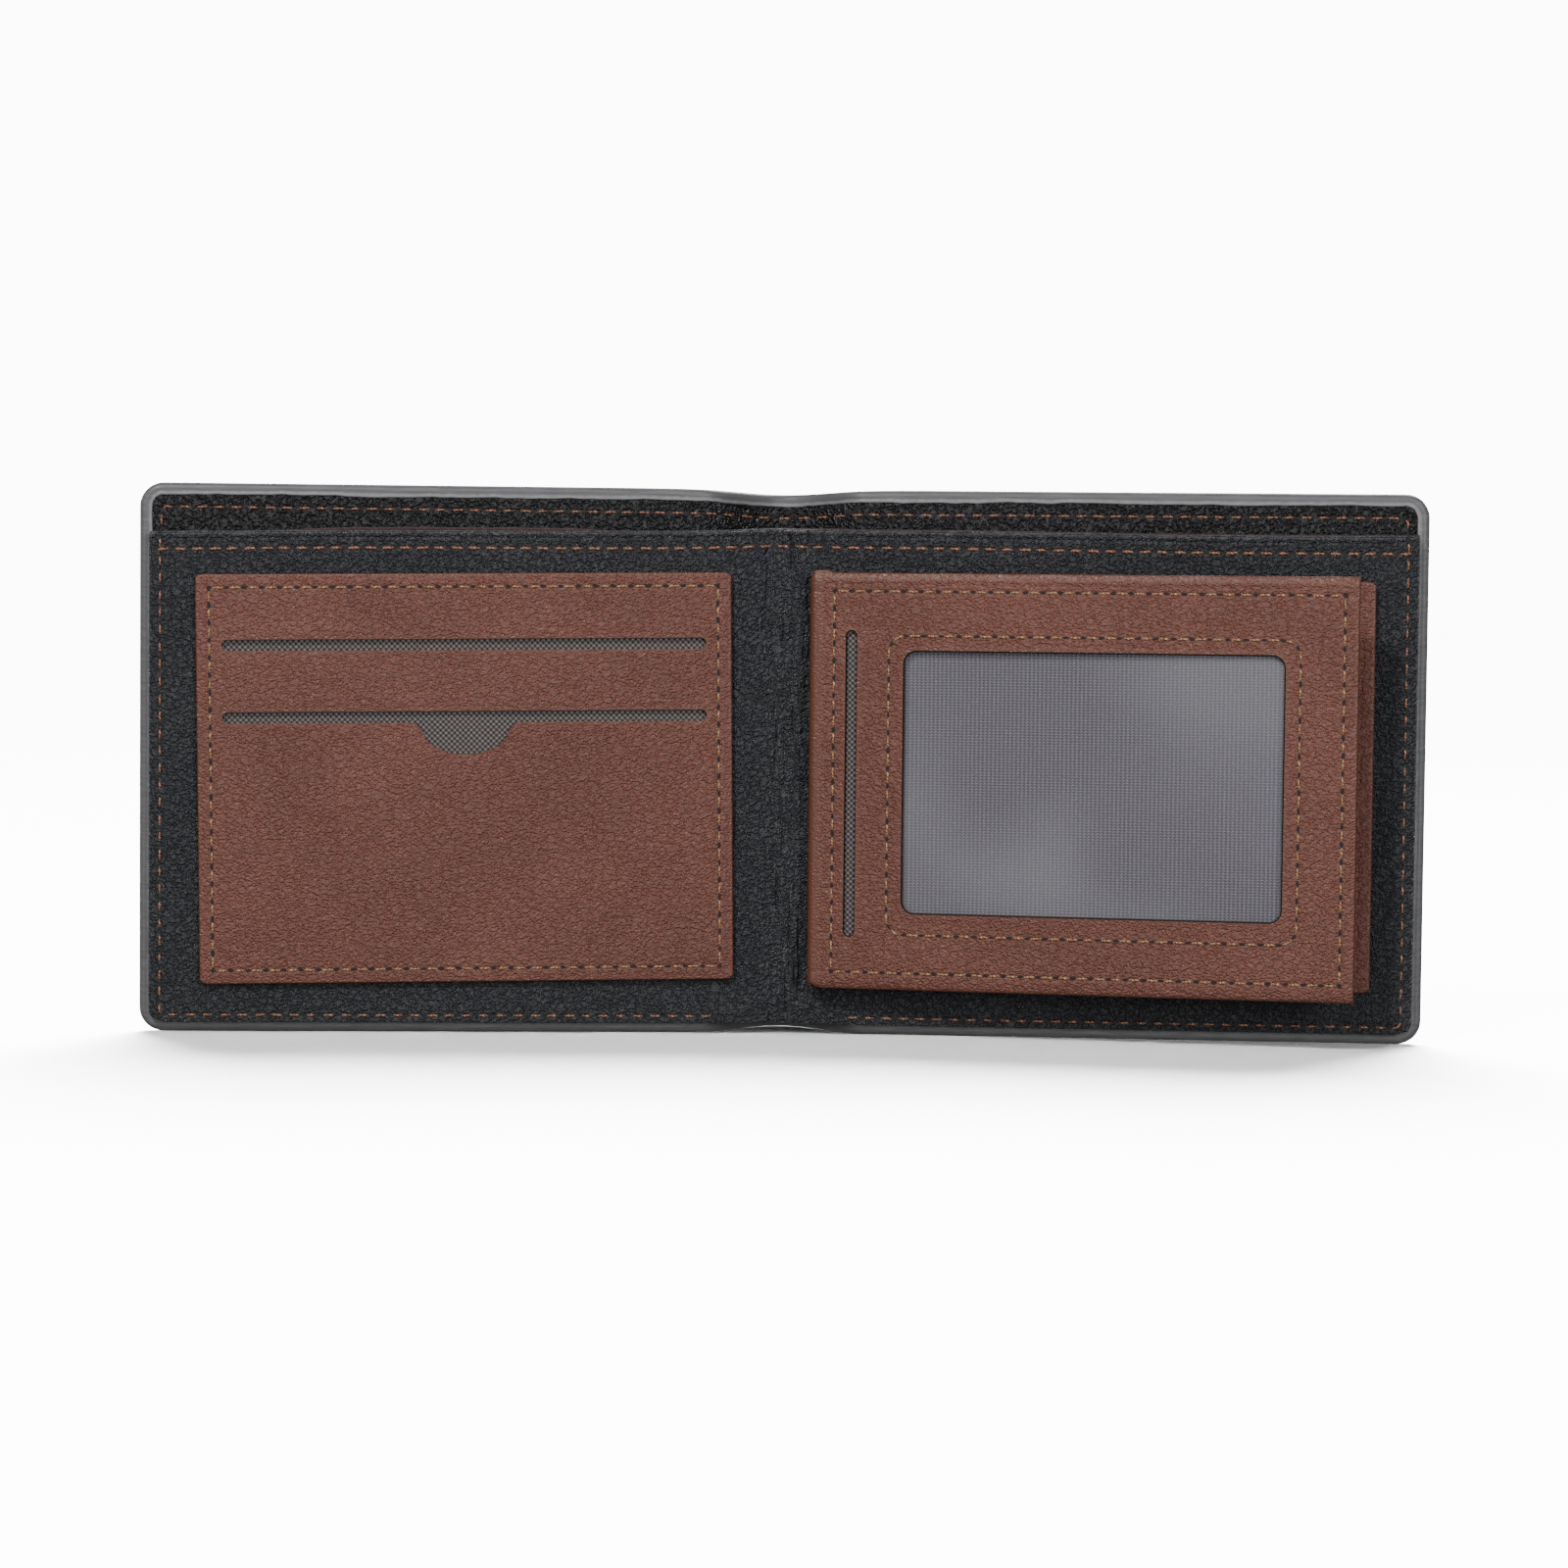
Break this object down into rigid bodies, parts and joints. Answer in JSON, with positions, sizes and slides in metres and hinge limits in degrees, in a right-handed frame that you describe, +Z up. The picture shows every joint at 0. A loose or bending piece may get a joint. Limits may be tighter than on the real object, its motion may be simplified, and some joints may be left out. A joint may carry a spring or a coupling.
{
  "type": "bifold wallet with flip-out window flap",
  "caption": "Bifold leather billfold standing open, with slotted card panels, a bill compartment behind them and a flip-out leaf with a clear window.",
  "frame": {"origin": "middle of the footprint, on the surface that the long bottom edge stands on", "axes": "+Z up along the fold, +X from the fold to the free edge of the wing that carries the flap, +Y towards the outside of the cover; a reader looks along +Y"},
  "size_m": [0.2404, 0.0312, 0.103],
  "materials": {
    "cover_leather": "fine grain, satin",
    "lining_leather": "fine grain, satin",
    "panel_leather": "fine grain, matt",
    "brown_leather": "fine grain, matt",
    "bill_lining": "grained",
    "interlining": "felted",
    "edge_paint": "smooth",
    "pocket_mesh": "woven",
    "window_film": "clear",
    "copper_thread": "twisted",
    "gold_thread": "twisted"
  },
  "bodies": {
    "right_wing": {"cover_leather_right": "cover_leather", "cover_interlining_right": "interlining", "cover_lining_right": "lining_leather", "cover_edge_right": "edge_paint", "cover_thread_right": "copper_thread", "inner_panel_right": "panel_leather", "inner_hem_right": "panel_leather", "inner_backing_right": "interlining", "bill_lining_right": "bill_lining", "seam_tape_right": "bill_lining", "hem_thread_right": "copper_thread", "card_panel_right": "brown_leather", "card_panel_thread_right": "gold_thread", "upper_pocket_mesh_right": "pocket_mesh", "lower_pocket_mesh_right": "pocket_mesh", "cover_leather_spine": "cover_leather", "cover_interlining_spine": "interlining", "cover_lining_spine": "lining_leather", "cover_edge_spine": "edge_paint", "cover_thread_spine": "copper_thread", "inner_panel_fold": "panel_leather", "inner_hem_fold": "panel_leather", "hem_thread_fold": "copper_thread", "bill_lining_fold": "bill_lining"},
    "left_wing": {"cover_leather_left": "cover_leather", "cover_interlining_left": "interlining", "cover_lining_left": "lining_leather", "cover_edge_left": "edge_paint", "cover_thread_left": "copper_thread", "inner_panel_left": "panel_leather", "inner_hem_left": "panel_leather", "inner_backing_left": "interlining", "bill_lining_left": "bill_lining", "seam_tape_left": "bill_lining", "hem_thread_left": "copper_thread", "card_panel_left": "brown_leather", "card_panel_thread_left": "gold_thread", "upper_pocket_mesh_left": "pocket_mesh", "lower_pocket_mesh_left": "pocket_mesh"},
    "flap_hinge": {"flap_hinge_tab": "brown_leather"},
    "flap": {"flap_front_leather": "brown_leather", "flap_back_leather": "brown_leather", "flap_pocket_mesh": "pocket_mesh", "flap_window_film": "window_film", "flap_edge_strips": "brown_leather", "flap_thread": "gold_thread", "flap_window_thread": "gold_thread", "flap_hinge_roll": "brown_leather"}
  },
  "joints": [
    {"name": "wallet_fold", "type": "hinge", "parent": "right_wing", "child": "left_wing", "pos_m": [-0.00006, -0.00201, 0.0515], "axis": [0, 0, -1], "range_deg": [-172, 8], "deforming": ["cover_leather_spine", "cover_interlining_spine", "cover_lining_spine", "cover_edge_spine", "cover_thread_spine", "inner_panel_fold", "inner_hem_fold", "hem_thread_fold", "bill_lining_fold"]},
    {"name": "flap_swing", "type": "hinge", "parent": "right_wing", "child": "flap_hinge", "pos_m": [0.00629, -0.00196, 0.0484], "axis": [0, 0, -1], "range_deg": [0, 165.5], "deforming": ["flap_hinge_tab"]},
    {"name": "flap_press", "type": "hinge", "parent": "flap_hinge", "child": "flap", "pos_m": [0.00629, -0.00196, 0.0484], "axis": [0, 0, -1], "range_deg": [-6.5, 0.35]}
  ],
  "couplings": [
    {"joint": "flap_press", "follows": "wallet_fold", "ratio": 0.03778}
  ]
}
